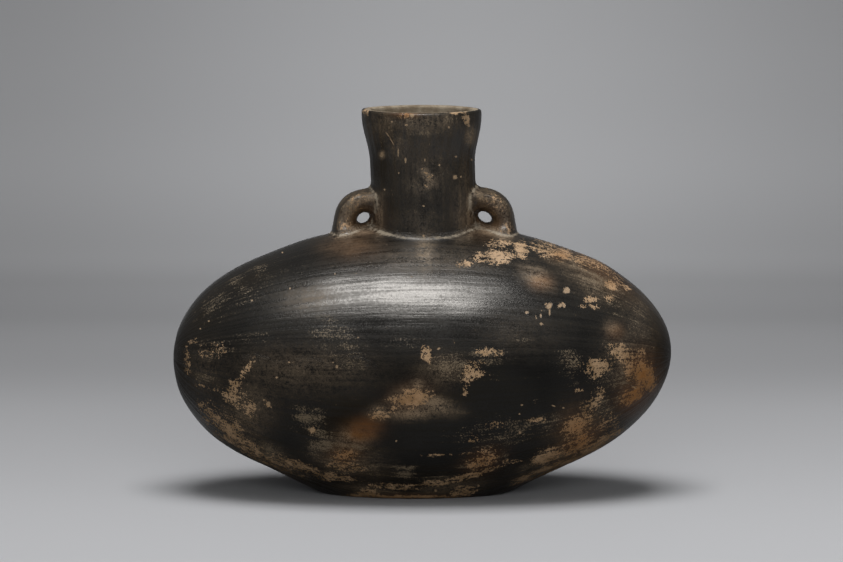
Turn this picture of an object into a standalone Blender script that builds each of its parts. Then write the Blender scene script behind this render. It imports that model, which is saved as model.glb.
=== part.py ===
"""A two-handled jar of burnished black pottery: one fired clay piece with a long oval body lying on its side, a
tubular neck that flares to the mouth, and two small pierced lugs where the neck meets the shoulder.

Metres, +Z up. The origin lies midway between the body's two ends, on the surface that the flat base stands on.
+X runs along the body and -Y is the front."""

import math

import bmesh
import bpy

# Body, an oval vessel drawn down to a flat oval base
BODY_HALF_LENGTH = 0.1354
BODY_HALF_DEPTH = 0.0715
WIDEST_HEIGHT = 0.0756
SHOULDER_RISE = 0.0712
BASE_HALF_LENGTH = 0.0505
BODY_WALL = 0.0055
FLOOR_THICKNESS = 0.0075

# The lower belly sits a little off centre, as a pot built by hand does
BELLY_DRIFT = -0.0047
DRIFT_TOP = 0.0950

# Neck and mouth
JAR_HEIGHT = 0.2096
NECK_RADIUS = 0.0283
RIM_RADIUS = 0.0324
NECK_WALL = 0.0050
LIP_ROUND = 0.0020
FLARE_DROP = 0.0290
RIM_BAND = 0.0040
ROOT_FILLET = 0.0035
ROOT_SHIFT = 0.0008
RIM_SHIFT = -0.0004

# Pierced lugs, each a thick strap bent in a quarter circle from the neck's side down to the shoulder, with a collar
# of clay round the small hole
LEFT_LUG_REACH = 0.0207
RIGHT_LUG_REACH = 0.0214
LUG_THICKNESS = 0.0110
LUG_DEPTH = 0.0220
LUG_ROOT_THICKNESS = 0.0138
LUG_ROOT_DEPTH = 0.0280
LEFT_HOLE_RADIUS = 0.0034
RIGHT_HOLE_RADIUS = 0.0036
LEFT_HOLE_GAP = 0.0007
RIGHT_HOLE_GAP = 0.0012
HOLE_LIFT = 0.0016
COLLAR_THICKNESS = 0.0076
COLLAR_DEPTH = 0.0190

# How finely the round shapes are divided
BODY_SEGMENTS = 64
HOLLOW_SEGMENTS = 48
NECK_SEGMENTS = 48
LOWER_STEPS = 8
UPPER_STEPS = 12
HOLLOW_STEPS = 14
FLARE_STEPS = 7
FILLET_STEPS = 3
LIP_STEPS = 3
LUG_STEPS = 16
LUG_SIDES = 16
COLLAR_STEPS = 20
COLLAR_SIDES = 12

# How steeply the root fillet and the mouth's inner rounding meet the surfaces that they run into
FILLET_START = math.radians(14)
LIP_END = math.radians(62)

# How far each end of a lug's bend runs on inside the neck and shoulder
LUG_BURIED_TURN = math.radians(24)

# How far cutters and sunk ends reach past the surfaces that they cross
OVERLAP = 0.0040

CLAY_COLOUR = (0.022, 0.020, 0.018, 1.0)
CLAY_ROUGHNESS = 0.38


def smooth(share):
    """Eases from 0 to 1 as share goes from 0 to 1."""
    share = min(1.0, max(0.0, share))
    return share * share * (3 - 2 * share)


def body_centre(z):
    """The body's sideways offset at a height: none at its widest line, most at the base."""
    return BELLY_DRIFT * (smooth(WIDEST_HEIGHT / DRIFT_TOP) - smooth(z / DRIFT_TOP))


def body_top(x, y):
    """The height of the body's upper surface above a point."""
    along = (x - body_centre(WIDEST_HEIGHT + SHOULDER_RISE)) / BODY_HALF_LENGTH
    across = y / BODY_HALF_DEPTH
    return WIDEST_HEIGHT + SHOULDER_RISE * math.sqrt(max(0.0, 1 - along**2 - across**2))


def neck_centre(z):
    """The neck leans slightly, from its root to the rim."""
    root = WIDEST_HEIGHT + SHOULDER_RISE
    return ROOT_SHIFT + (RIM_SHIFT - ROOT_SHIFT) * smooth((z - root) / (JAR_HEIGHT - root))


def neck_radius(z):
    """The neck's outer radius: straight, then flaring to the band below the lip."""
    start = JAR_HEIGHT - FLARE_DROP
    share = (z - start) / (FLARE_DROP - RIM_BAND)
    return NECK_RADIUS + (RIM_RADIUS - NECK_RADIUS) * smooth(share)


def oval(centre_x, half_x, half_y, z, count):
    """A level ring of points."""
    turns = [2 * math.pi * i / count for i in range(count)]
    return [(centre_x + half_x * math.cos(t), half_y * math.sin(t), z) for t in turns]


def mesh_object(name, mesh_builder):
    """An object whose mesh is filled in by mesh_builder, with its faces pointing out."""
    mesh = bpy.data.meshes.new(name)
    bm = bmesh.new()
    mesh_builder(bm)
    bmesh.ops.recalc_face_normals(bm, faces=bm.faces)
    bm.to_mesh(mesh)
    bm.free()
    made = bpy.data.objects.new(name, mesh)
    bpy.context.scene.collection.objects.link(made)
    return made


def loft(name, rings):
    """A closed solid through rings of equally many points, its two ends closed by fans."""

    def build(bm):
        loops = [[bm.verts.new(point) for point in ring] for ring in rings]
        for lower, upper in zip(loops, loops[1:]):
            for i in range(len(lower)):
                j = (i + 1) % len(lower)
                bm.faces.new((lower[i], lower[j], upper[j], upper[i]))
        for loop in (loops[0], loops[-1]):
            middle = [sum(v.co[axis] for v in loop) / len(loop) for axis in range(3)]
            hub = bm.verts.new(middle)
            for i in range(len(loop)):
                bm.faces.new((loop[i], loop[(i + 1) % len(loop)], hub))

    return mesh_object(name, build)


def body_profile():
    """(half length, height) pairs up the body's outside: a straight flank from the base, touching the belly's curve,
    and on over the shoulder. The belly's curve would reach the ground, so the touching point is at twice the base
    edge's angle less a right angle."""
    base_share = BASE_HALF_LENGTH / BODY_HALF_LENGTH
    touching = 2 * math.atan2(1, base_share) - math.pi / 2
    pairs = [(BASE_HALF_LENGTH, 0.0)]
    for i in range(LOWER_STEPS + 1):
        turn = touching * (1 - i / LOWER_STEPS)
        pairs.append((BODY_HALF_LENGTH * math.cos(turn), WIDEST_HEIGHT * (1 - math.sin(turn))))
    for i in range(1, UPPER_STEPS):
        turn = math.pi / 2 * i / UPPER_STEPS
        pairs.append((BODY_HALF_LENGTH * math.cos(turn), WIDEST_HEIGHT + SHOULDER_RISE * math.sin(turn)))
    return pairs


def make_body():
    """The solid body, before it is hollowed."""
    depth_share = BODY_HALF_DEPTH / BODY_HALF_LENGTH
    rings = [
        oval(body_centre(z), half, half * depth_share, z, BODY_SEGMENTS) for half, z in body_profile()
    ]
    return loft("jar", rings)


def root_ring(radius, lift):
    """A ring around the neck that follows the shoulder's saddle, lifted above it."""
    root_x = neck_centre(0)
    points = []
    for i in range(NECK_SEGMENTS):
        turn = 2 * math.pi * i / NECK_SEGMENTS
        x = root_x + radius * math.cos(turn)
        y = radius * math.sin(turn)
        points.append((x, y, body_top(x, y) + lift))
    return points


def make_neck():
    """The solid neck: sunk into the shoulder, with a filleted root, a flare and a rounded lip."""
    rings = [root_ring(NECK_RADIUS + ROOT_FILLET * (1 - math.sin(FILLET_START)), -OVERLAP)]
    for i in range(FILLET_STEPS + 1):
        turn = FILLET_START + (math.pi / 2 - FILLET_START) * i / FILLET_STEPS
        sunk = ROOT_FILLET * (1 - math.cos(FILLET_START)) * 2
        lift = ROOT_FILLET * (1 - math.cos(turn)) - sunk
        rings.append(root_ring(NECK_RADIUS + ROOT_FILLET * (1 - math.sin(turn)), lift))
    flare_start = JAR_HEIGHT - FLARE_DROP
    straight_end = WIDEST_HEIGHT + SHOULDER_RISE + ROOT_FILLET * 2
    rise = FLARE_DROP - LIP_ROUND
    heights = [straight_end, (straight_end + flare_start) / 2]
    heights += [flare_start + rise * i / FLARE_STEPS for i in range(FLARE_STEPS + 1)]
    for z in heights:
        rings.append(oval(neck_centre(z), neck_radius(z), neck_radius(z), z, NECK_SEGMENTS))
    for i in range(1, LIP_STEPS + 1):
        turn = math.pi / 2 * i / LIP_STEPS
        radius = RIM_RADIUS - LIP_ROUND * (1 - math.cos(turn))
        z = JAR_HEIGHT - LIP_ROUND * (1 - math.sin(turn))
        rings.append(oval(neck_centre(z), radius, radius, z, NECK_SEGMENTS))
    return loft("neck_form", rings)


def make_lug(name, side, reach):
    """A strap on one side of the neck, reaching that far from the corner between neck and shoulder, round a small hole
    that runs front to back. It has an oval section, thickens where it joins the pot, and its ends are buried."""
    corner_x = ROOT_SHIFT + side * NECK_RADIUS
    corner_z = body_top(corner_x, 0)
    bend_radius = reach - LUG_THICKNESS / 2
    middle = math.pi / 4
    rings = []
    for i in range(LUG_STEPS + 1):
        turn = LUG_BURIED_TURN * (2 * i / LUG_STEPS - 1) + middle * 2 * i / LUG_STEPS
        root_share = min(1.0, abs(turn - middle) / middle) ** 4
        half_thickness = (LUG_THICKNESS + (LUG_ROOT_THICKNESS - LUG_THICKNESS) * root_share) / 2
        half_depth = (LUG_DEPTH + (LUG_ROOT_DEPTH - LUG_DEPTH) * root_share) / 2
        ring = []
        for j in range(LUG_SIDES):
            around = 2 * math.pi * j / LUG_SIDES
            out = bend_radius + half_thickness * math.cos(around)
            x = corner_x + side * out * math.cos(turn)
            z = corner_z + out * math.sin(turn)
            ring.append((x, half_depth * math.sin(around), z))
        rings.append(ring)
    return loft(name, rings)


def make_collar(name, side, hole_radius, hole_gap):
    """The clay pressed round a lug's hole: a ring lying front to back, with an oval section, so that the hole is
    narrowest in the middle of the clay. It is half buried in the neck, the shoulder and the lug."""
    hole_x = ROOT_SHIFT + side * (NECK_RADIUS + hole_gap + hole_radius)
    hole_z = body_top(ROOT_SHIFT + side * NECK_RADIUS, 0) + HOLE_LIFT + hole_radius
    half_thickness = COLLAR_THICKNESS / 2
    ring_radius = hole_radius + half_thickness

    def build(bm):
        sections = []
        for i in range(COLLAR_STEPS):
            turn = 2 * math.pi * i / COLLAR_STEPS
            section = []
            for j in range(COLLAR_SIDES):
                around = 2 * math.pi * j / COLLAR_SIDES
                out = ring_radius + half_thickness * math.cos(around)
                y = COLLAR_DEPTH / 2 * math.sin(around)
                section.append(bm.verts.new((hole_x + out * math.cos(turn), y, hole_z + out * math.sin(turn))))
            sections.append(section)
        for i in range(COLLAR_STEPS):
            here, ahead = sections[i], sections[(i + 1) % COLLAR_STEPS]
            for j in range(COLLAR_SIDES):
                k = (j + 1) % COLLAR_SIDES
                bm.faces.new((here[j], here[k], ahead[k], ahead[j]))

    return mesh_object(name, build)


def make_belly_hollow():
    """The empty inside of the body."""
    half_length = BODY_HALF_LENGTH - BODY_WALL
    half_depth = BODY_HALF_DEPTH - BODY_WALL
    drop = WIDEST_HEIGHT - FLOOR_THICKNESS
    rise = SHOULDER_RISE - BODY_WALL
    rings = []
    for i in range(1, HOLLOW_STEPS):
        turn = math.pi * (i / HOLLOW_STEPS - 0.5)
        z = WIDEST_HEIGHT + (rise if turn > 0 else drop) * math.sin(turn)
        share = math.cos(turn)
        rings.append(oval(body_centre(z), half_length * share, half_depth * share, z, HOLLOW_SEGMENTS))
    return loft("belly_hollow", rings)


def make_bore_hollow():
    """The empty inside of the neck, from the belly out through the mouth."""
    bore = NECK_RADIUS - NECK_WALL
    share = bore / (BODY_HALF_DEPTH - BODY_WALL)
    inner_top = WIDEST_HEIGHT + (SHOULDER_RISE - BODY_WALL) * math.sqrt(1 - share**2)
    bottom = inner_top - OVERLAP
    flare_start = JAR_HEIGHT - FLARE_DROP
    rise = FLARE_DROP - LIP_ROUND
    heights = [bottom, flare_start] + [flare_start + rise * i / FLARE_STEPS for i in range(1, FLARE_STEPS + 1)]
    pairs = [(neck_radius(z) - NECK_WALL, z) for z in heights]
    mouth = RIM_RADIUS - NECK_WALL
    for i in range(1, LIP_STEPS + 1):
        turn = LIP_END * i / LIP_STEPS
        pairs.append((mouth + LIP_ROUND * (1 - math.cos(turn)), JAR_HEIGHT - LIP_ROUND * (1 - math.sin(turn))))
    last_radius, last_z = pairs[-1]
    climb = JAR_HEIGHT - last_z + OVERLAP
    pairs.append((last_radius + climb * math.tan(LIP_END), last_z + climb))
    rings = [oval(neck_centre(z), radius, radius, z, HOLLOW_SEGMENTS) for radius, z in pairs]
    return loft("bore_hollow", rings)


def combine(target, other, operation):
    """Adds a Boolean of other to target, and leaves other out of the model."""
    step = target.modifiers.new(f"{operation.lower()} {other.name}", "BOOLEAN")
    step.operation = operation
    step.solver = "EXACT"
    step.object = other
    other.hide_render = True
    other.display_type = "WIRE"


def clay_material():
    """Dark burnished clay."""
    material = bpy.data.materials.new("burnished_clay")
    material.use_nodes = True
    shader = material.node_tree.nodes["Principled BSDF"]
    shader.inputs["Base Color"].default_value = CLAY_COLOUR
    shader.inputs["Roughness"].default_value = CLAY_ROUGHNESS
    shader.inputs["Metallic"].default_value = 0.0
    return material


def main():
    for old in list(bpy.data.objects):
        bpy.data.objects.remove(old)
    jar = make_body()
    combine(jar, make_neck(), "UNION")
    combine(jar, make_lug("left_lug_form", -1, LEFT_LUG_REACH), "UNION")
    combine(jar, make_lug("right_lug_form", 1, RIGHT_LUG_REACH), "UNION")
    combine(jar, make_collar("left_collar_form", -1, LEFT_HOLE_RADIUS, LEFT_HOLE_GAP), "UNION")
    combine(jar, make_collar("right_collar_form", 1, RIGHT_HOLE_RADIUS, RIGHT_HOLE_GAP), "UNION")
    combine(jar, make_belly_hollow(), "DIFFERENCE")
    combine(jar, make_bore_hollow(), "DIFFERENCE")
    jar.data.materials.append(clay_material())
    jar.data.shade_smooth()
    jar.data.set_sharp_from_angle(angle=math.radians(40))


main()
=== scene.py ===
"""The looks of a two-handled jar of burnished black pottery, worn through to its tan clay in patches.

One mesh stands for the whole jar. Its form is a signed distance field: body, neck and lugs flow into each
other as wet clay does, and the bore and the lug holes are taken out of it. The field is meshed on a grid that
is finer round the neck, and then dented as a hand-built jar is. The hollow of the belly is a set of rings.
Wear, with some painted highlights and painted light, is painted onto the vertices by listed patches, each
placed by the pixel of the 843 by 562 photograph at its middle, and the material breaks the patches up into
flakes and specks. Sizes are in millimetres, in the frame of the CAD part: +X runs along the body, -Y is the
front and +Z is up. The stage is in metres, and its paper has painted light and shade."""

import math
from collections import namedtuple

import bpy
import numpy as np
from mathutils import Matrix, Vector


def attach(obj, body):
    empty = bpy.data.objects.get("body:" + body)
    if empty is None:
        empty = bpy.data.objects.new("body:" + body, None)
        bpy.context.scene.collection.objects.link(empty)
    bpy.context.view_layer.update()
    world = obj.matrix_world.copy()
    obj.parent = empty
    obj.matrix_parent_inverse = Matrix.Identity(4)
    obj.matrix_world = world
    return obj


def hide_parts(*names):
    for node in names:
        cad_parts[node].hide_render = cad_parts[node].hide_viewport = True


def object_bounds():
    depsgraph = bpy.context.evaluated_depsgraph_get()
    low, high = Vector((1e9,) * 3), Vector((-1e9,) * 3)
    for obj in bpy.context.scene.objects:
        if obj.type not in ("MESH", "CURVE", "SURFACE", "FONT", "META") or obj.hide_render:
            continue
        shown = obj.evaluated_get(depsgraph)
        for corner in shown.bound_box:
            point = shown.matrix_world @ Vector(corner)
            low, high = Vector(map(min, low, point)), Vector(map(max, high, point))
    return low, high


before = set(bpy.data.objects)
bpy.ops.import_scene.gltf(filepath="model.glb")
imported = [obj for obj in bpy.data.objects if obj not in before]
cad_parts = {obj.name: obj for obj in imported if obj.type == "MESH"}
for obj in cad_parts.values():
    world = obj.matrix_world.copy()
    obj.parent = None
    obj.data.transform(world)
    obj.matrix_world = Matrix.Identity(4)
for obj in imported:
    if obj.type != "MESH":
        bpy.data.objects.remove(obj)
cad_low, cad_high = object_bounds()

MM = 0.001

# Overall form, taken from the CAD part's box
HALF_LENGTH = (cad_high.x - cad_low.x) / 2 / MM
HALF_DEPTH = (cad_high.y - cad_low.y) / 2 / MM
JAR_HEIGHT = (cad_high.z - cad_low.z) / MM
DEPTH_SHARE = HALF_DEPTH / HALF_LENGTH
BOX_CLEARANCE = 0.02

# Body
WIDEST_HEIGHT = 75.6
SHOULDER_RISE = 71.2
BASE_HALF_LENGTH = 50.5
BODY_WALL = 5.5
FLOOR_THICKNESS = 7.5
BELLY_DRIFT = -4.7
DRIFT_TOP = 95.0
BASE_EDGE_ROUND = 1.6

# Neck and mouth
NECK_RADIUS = 28.4
RIM_RADIUS = 32.4
NECK_WALL = 5.0
LIP_ROUND = 1.1
FLARE_DROP = 29.0
RIM_BAND = 4.0
ROOT_SHIFT = 0.8
RIM_SHIFT = -0.4
ROOT_BLEND = 3.6
# The bore of the field ends at the seam, in a plug of faces above this height that is taken away
BORE_SEAM = 151.0
PLUG_FROM = 110.0
RIM_SAG_BACK = 0.25
RIM_SAG_RIGHT = 0.2
RIM_WAVE = 0.15

# Lugs
LUG_THICKNESS = 11.0
LUG_DEPTH = 21.0
LUG_ROOT_THICKNESS = 13.8
LUG_ROOT_DEPTH = 27.0
LUG_SQUARENESS = 2.45
WEB_THIN = 6.3
WEB_THICK = 10.0
WEB_RUN = 9.0
WEB_REACH = 11.5
WEB_BLEND = 8.0
LUG_BLEND = 3.6
HOLE_BLEND = 1.6
HOLE_FLARE = 1.0
# Side, reach, hole centre out from the neck's side and up from the shoulder, hole half sizes and tilt
Lug = namedtuple("Lug", "side reach hole_out hole_up hole_long hole_short tilt")
LUGS = [
    Lug(-1, 19.9, 4.4, 5.0, 3.5, 2.5, math.radians(35)),
    Lug(1, 20.6, 4.8, 5.5, 3.9, 2.55, math.radians(-33)),
]

# Grid steps: fine round the neck and lugs, coarse elsewhere
FINE_STEP = 1.15
FINE_RISE = 0.95
COARSE_ALONG = 2.3
COARSE_ACROSS = 1.8
COARSE_RISE = 1.9
FINE_ALONG_TO = 58.0
FINE_ACROSS_TO = 34.0
FINE_FROM_HEIGHT = 136.0
GRID_MARGIN = 3.0
SETTLE_ROUNDS = 3
SPREAD_ROUNDS = 4
BORE_RINGS = 6
HOLLOW_RINGS = 20

# Dents and swellings of the hand-built wall: place along and up, reach, and height along the wall's normal
Dent = namedtuple("Dent", "name along up reach height")
DENTS = [
    Dent("flat on the left shoulder", -84, 131, 22, -0.6),
    Dent("swelling under it", -118, 108, 22, 0.8),
    Dent("flat on the right shoulder", 78, 134, 14, -0.6),
    Dent("swelling beside it", 95, 127, 14, 0.5),
    Dent("swelling low on the left", -112, 35, 30, 0.8),
    Dent("swelling low on the right", 105, 32, 25, 0.4),
]
UNEVEN_HEIGHT = 0.12
UNEVEN_LENGTH = 34.0
UNEVEN_WAVES = 9
DENT_FADE = 3.0
DENT_FREE_FOOT = 6.0

# Camera
CAMERA_PLACE = Vector((-0.0004, -2.63, 0.407))
CAMERA_DIP = math.radians(6.32)
CAMERA_LENS = 208.0
CAMERA_SENSOR = 36.0
PHOTO_WIDTH = 843
PHOTO_HEIGHT = 562

# Burnish strokes: their length and width on the body, and their length on the neck
STROKE_LENGTH = 42.0
STROKE_WIDTH = 1.7
NECK_STROKE_LENGTH = 26.0
BODY_STROKE_RADIUS = HALF_DEPTH * 0.85

# Wear, with some painted highlights and painted light. A patch has the photo pixel at its middle, half sizes
# in millimetres as seen from the front, a tilt in degrees that is positive when the right end is higher, and
# a strength: the lower, the more it breaks up.
Patch = namedtuple("Patch", "name px py wide high tilt strength", defaults=(0, 1.0))
BackPatch = namedtuple("BackPatch", "name along up wide high tilt strength")


def patches(rows, kind=Patch):
    return [kind(*row) for row in rows]


# Bare clay where the black skin has come off
FLAKES = patches([
    ("right shoulder, main", 499, 256, 9, 3.8, 8, 0.98),
    ("right shoulder, tongue", 481, 257, 4.5, 2.4, 0, 1),
    ("right shoulder, up to the lug", 521, 250, 3.6, 5, 14, 0.95),
    ("right shoulder, above the main", 499, 244, 6.5, 2.6, 0, 0.62),
    ("right shoulder, second", 545, 248, 8, 4.6, -14, 0.58),
    ("right shoulder, third", 562, 254, 5.6, 3.4, -10, 0.95),
    ("right shoulder, fourth", 584, 261, 6, 3.2, -30, 0.66),
    ("right shoulder edge, high", 603, 267, 7.5, 2.2, -38, 0.56),
    ("right shoulder edge, low", 622, 283, 7.5, 1.8, -42, 0.5),
    ("right shoulder, below the edge", 611, 285, 2.9, 2.3, -30, 0.95),
    ("right shoulder, hook", 610, 298, 2.6, 1.6, -25, 0.9),
    ("right shoulder, small pair", 464, 264, 4.2, 1.8, 0, 0.78),
    ("right flank, leaf top", 590.5, 299.5, 3.2, 1.6, 0, 1.05),
    ("right flank, leaf foot", 588, 306, 4.9, 1, -6, 0.9),
    ("right flank, chip pair left", 549, 306, 1.6, 1.9, 60, 0.9),
    ("right flank, chip pair right", 561, 305, 1.9, 1.5, 0, 0.8),
    ("right end, tan", 597, 366, 8.2, 3.8, 4, 0.78),
    ("right end, tan foot", 596, 375, 3.4, 2, 20, 0.72),
    ("right end, fork", 622, 354, 7, 4, -28, 0.9),
    ("right end, fork tip", 641, 352, 3, 2.4, 0, 0.8),
    ("right end, upright", 632, 366, 3.6, 8, 0, 0.75),
    ("right end, orange", 642, 373, 6.2, 7.2, 20, 1),
    ("right end, orange foot", 648, 381, 3.6, 5, 20, 0.95),
    ("right end, orange streaks", 634, 395, 4, 8, -45, 0.68),
    ("right end, small", 600, 393, 2.6, 2.8, 0, 0.72),
    ("right end, short line", 579, 390, 3, 0.9, 0, 0.75),
    ("right low band, high", 588, 408, 4, 8.5, -30, 0.58),
    ("right low band, middle", 577, 426, 9.5, 5.6, 35, 0.68),
    ("right low band, low", 578, 443, 9, 5, 35, 0.68),
    ("right low, speckled", 606, 424, 7, 6, 40, 0.42),
    ("right low, toward the base", 546, 456, 7.5, 4, 24, 0.82),
    ("right low edge, outer", 596, 446, 15, 2.6, 33, 0.9),
    ("right low edge, inner", 556, 467, 16, 2.8, 24, 0.9),
    ("right low edge, foot", 524, 479, 8, 1.8, 20, 0.82),
    ("thin line, right", 537, 420, 5.2, 0.9, 4, 0.82),
    ("thin line, lower right", 512, 461, 6.5, 1.2, 6, 0.8),
    ("spot line, right", 494, 425, 4.6, 2, 6, 0.62),
    ("curl", 473, 439, 2.4, 2.8, 0, 0.82),
    ("orange crumbs", 483, 461, 8.5, 4.6, 25, 0.66),
    ("thin line, middle", 437, 455, 7.5, 0.9, 2, 0.72),
    ("thin line, middle right", 478, 451, 12, 0.9, 8, 0.6),
    ("foot band, rising right", 468, 476, 16, 1.6, 17, 0.84),
    ("foot band, middle", 428, 484, 10, 1.6, 4, 0.74),
    ("foot band, left", 392, 487, 12, 2, -4, 0.66),
    ("foot, oval", 463, 491, 6.6, 2.4, 8, 1),
    ("foot, left chip", 370, 492.5, 4.8, 1.5, -8, 0.9),
    ("base edge, worn line", 394, 496.8, 32, 0.8, 0, 1.3),
    ("base edge, worn at the left", 363, 495.6, 8, 1.5, 4, 1.3),
    ("middle, high", 426, 354, 2.8, 4.2, 24, 0.85),
    ("middle, crumbs right", 490, 352, 6.8, 2.8, 0, 0.54),
    ("middle, tan mottle", 474, 370, 6.8, 5, 40, 0.58),
    ("middle, tan mottle foot", 465, 386, 2.8, 4.6, -14, 0.6),
    ("middle, bright", 412, 398, 10, 4.4, 14, 1),
    ("middle, cluster left", 380, 414, 5.2, 3.2, 10, 0.66),
    ("middle, cluster link", 393, 408, 4, 2, 30, 0.55),
    ("low middle, mottle", 345, 456, 6.6, 3.4, 4, 0.85),
    ("low middle, streak", 347, 467, 10, 2.4, -6, 0.72),
    ("low middle, grey dot", 313, 430, 1.7, 1.6, 0, 1.1),
    ("low left band, foot", 334, 477, 13, 2.2, -4, 0.76),
    ("low left band, inner", 300, 466, 14, 2.4, -20, 0.7),
    ("low left edge", 272, 463, 14, 2, -24, 0.72),
    ("low left, trail", 248, 447, 11, 4, -38, 0.7),
    ("low left, pale trail", 231, 430, 5, 7.5, 20, 0.88),
    ("left, mottle", 234, 400, 6.5, 7.5, 20, 0.32),
    ("left, mottle right", 251, 408, 3.6, 5, 10, 0.46),
    ("left, bright", 235, 384, 2.8, 2.8, 0, 1.15),
    ("left, bright under", 230, 395, 4, 4, 40, 0.8),
    ("left, chain", 246, 370, 1.3, 6.5, -35, 0.6),
    ("left, scratched edge", 214, 420, 5, 12, 36, 0.52),
    ("left, small dot", 268, 404, 1.5, 1.3, 0, 1.1),
    ("left end, streak", 187, 362, 1.6, 8, 4, 0.6),
    ("left end, high streak", 195, 340, 3.2, 1.6, 30, 0.42),
    ("left end, mottle", 215, 350, 8, 4, 10, 0.42),
    ("left end, long scratch", 208, 388, 6, 1, -18, 0.66),
    ("rim, right chips", 458, 112.6, 3.6, 0.9, 3, 0.95),
    ("rim, right drop", 465, 119, 1.9, 3.2, 12, 0.82),
    ("rim, left crumbs", 366, 112, 1.8, 2.4, 0, 0.66),
    ("rim, golden crumbs", 404, 115.5, 3.4, 1.8, 0, 0.72),
    ("left strap, crumbs", 356, 204, 5, 9, -40, 0.3),
    ("left strap, crumbs at its foot", 345, 227, 4, 4.4, 0, 0.38),
    ("right strap, crumbs", 494, 203, 5, 9, 44, 0.28),
    ("right strap, crumbs at its foot", 506, 229, 4, 4.4, 0, 0.36),
    ("neck, scrape", 429, 176, 1.5, 4.4, 40, 0.5),
    ("neck, scrape foot", 426, 186, 2, 1.4, 0, 0.45),
])

# Soft tan and grey clouds where the skin is thin, and some painted light: painted highlights round the shine
# on the shoulder, and painted light round and under the lug holes
HAZES_AND_PAINTED_LIGHT = patches([
    ("right shoulder, smear", 536, 276, 8, 4.4, -32, 0.6),
    ("right shoulder, smear core", 539, 280, 4.2, 2.2, -38, 1.25),
    ("right shoulder, under the third", 573, 262, 13, 5, -24, 0.42),
    ("right shoulder, streaked", 592, 279, 14, 6.4, -32, 0.36),
    ("right flank, thumb mark", 613, 330, 3.4, 4.2, 25, 0.55),
    ("right flank, thumb mark right", 619, 333, 2.4, 2.2, 0, 0.2),
    ("right end, veil", 628, 360, 10, 12, 0, 0.4),
    ("right end, veil high", 640, 320, 8, 16, 12, 0.2),
    ("right low veil", 582, 432, 14, 10, 36, 0.4),
    ("right low veil, toward the base", 560, 460, 20, 5, 24, 0.45),
    ("middle, smear bright", 410, 398, 8, 4.2, 20, 1.25),
    ("middle, smear peak", 418, 389, 2.8, 4, 0, 0.9),
    ("middle, smear right", 431, 404, 9.5, 3.6, -14, 1.15),
    ("middle, smear foot", 414, 413, 12, 2.8, 4, 0.85),
    ("middle, smear tail", 452, 410, 6, 1.6, -10, 0.45),
    ("middle, left lump", 380, 413, 5, 3, 10, 0.9),
    ("middle, cloud over it", 440, 372, 10, 7, 0, 0.3),
    ("fire cloud, pale spot", 350, 437, 5, 3.8, 0, 0.95),
    ("fire cloud, veil", 351, 441, 9, 5.4, 20, 0.8),
    ("low middle, veil", 350, 462, 16, 7, -8, 0.4),
    ("left, veil", 300, 370, 30, 10, 0, 0.26),
    ("left, worn veil", 244, 416, 11, 15, -24, 0.42),
    ("left low, veil", 262, 452, 22, 5, -32, 0.4),
    ("left end, veil", 205, 374, 8, 12, 12, 0.2),
    ("shoulder, brown cloud", 350, 246, 12, 5, 0, 0.22),
    ("neck, patch at the right", 471, 136, 2.6, 4.2, -14, 1),
    ("neck, spot at the left", 382, 154.5, 1.3, 1.7, 0, 1.2),
    ("neck, scrape", 429, 177, 2.2, 4.6, 38, 0.95),
    ("neck, scrape foot", 427, 186, 2.6, 1.8, 0, 0.6),
    ("neck, lower veil", 421, 222, 18, 7, 0, 0.13),
    ("neck, veil over the middle", 428, 160, 18, 22, 0, 0.14),
    ("neck, veil at the right edge", 466, 190, 4, 22, 0, 0.2),
    ("neck, veil by the left lug", 379, 215, 3.6, 14, 0, 0.22),
    ("neck, veil by the right lug", 463, 215, 5, 16, 0, 0.32),
    ("neck, veil under the scrape", 416, 186, 7, 4, -20, 0.26),
    ("neck, upper veil", 428, 124, 18, 6, 0, 0.36),
    ("neck, upper veil at the left", 384, 126, 9, 7, 0, 0.36),
    ("neck, high middle veil", 400, 146, 6, 9, 0, 0.26),
    # Painted highlight: the pale band under the neck is a painted reflection of the key light, the brown at
    # the shine's left is partly a mottle and partly the shine's painted left end, and the veil over the shine
    # paints the highlight's spread above it
    ("shoulder, pale band under the neck", 425, 250, 4.8, 9, 0, 0.55),
    ("shine, brown at the left", 311, 298, 11, 5.5, 4, 0.3),
    ("shoulder, veil over the shine", 432, 259, 34, 6, 0, 0.2),
    ("right flank, grey veil", 520, 335, 16, 8, 0, 0.1),
    ("left lug, beside its hole", 378, 215, 2.4, 9, 0, 0.75),
    # Painted light: lightens the shaded funnel round the left lug's hole
    ("left lug, round its hole", 363, 217, 7, 7, 0, 0.5),
    ("right lug, beside its hole", 469, 215, 2.4, 10, 0, 0.75),
    # Painted light: lightens the shaded funnel round the right lug's hole
    ("right lug, round its hole", 486, 217, 7.5, 7.5, 0, 0.5),
    # Partly orange-tan clay, partly painted light on the lit slope under the left lug's hole
    ("under the left lug hole", 361, 229, 7.2, 2.4, 4, 1.15),
    ("left lug foot", 345, 233, 5, 2.6, 20, 0.8),
    # Partly orange-tan clay, partly painted light on the lit slope under the right lug's hole
    ("under the right lug hole", 487, 229, 8, 2.6, -14, 1),
    ("right lug foot", 503, 235, 5, 2.6, -20, 0.75),
    ("left strap face", 352, 208, 3.2, 9, -32, 0.85),
    ("left strap top", 366, 199, 7, 2.6, 18, 0.85),
    ("right strap face", 497, 206, 3, 9, 38, 0.7),
    ("right strap top", 481, 196, 7, 2.6, -22, 0.8),
    ("foot, left veil", 372, 489, 14, 2.6, -3, 0.5),
    ("foot, right veil", 450, 488, 16, 2.6, 6, 0.5),
])
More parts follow.
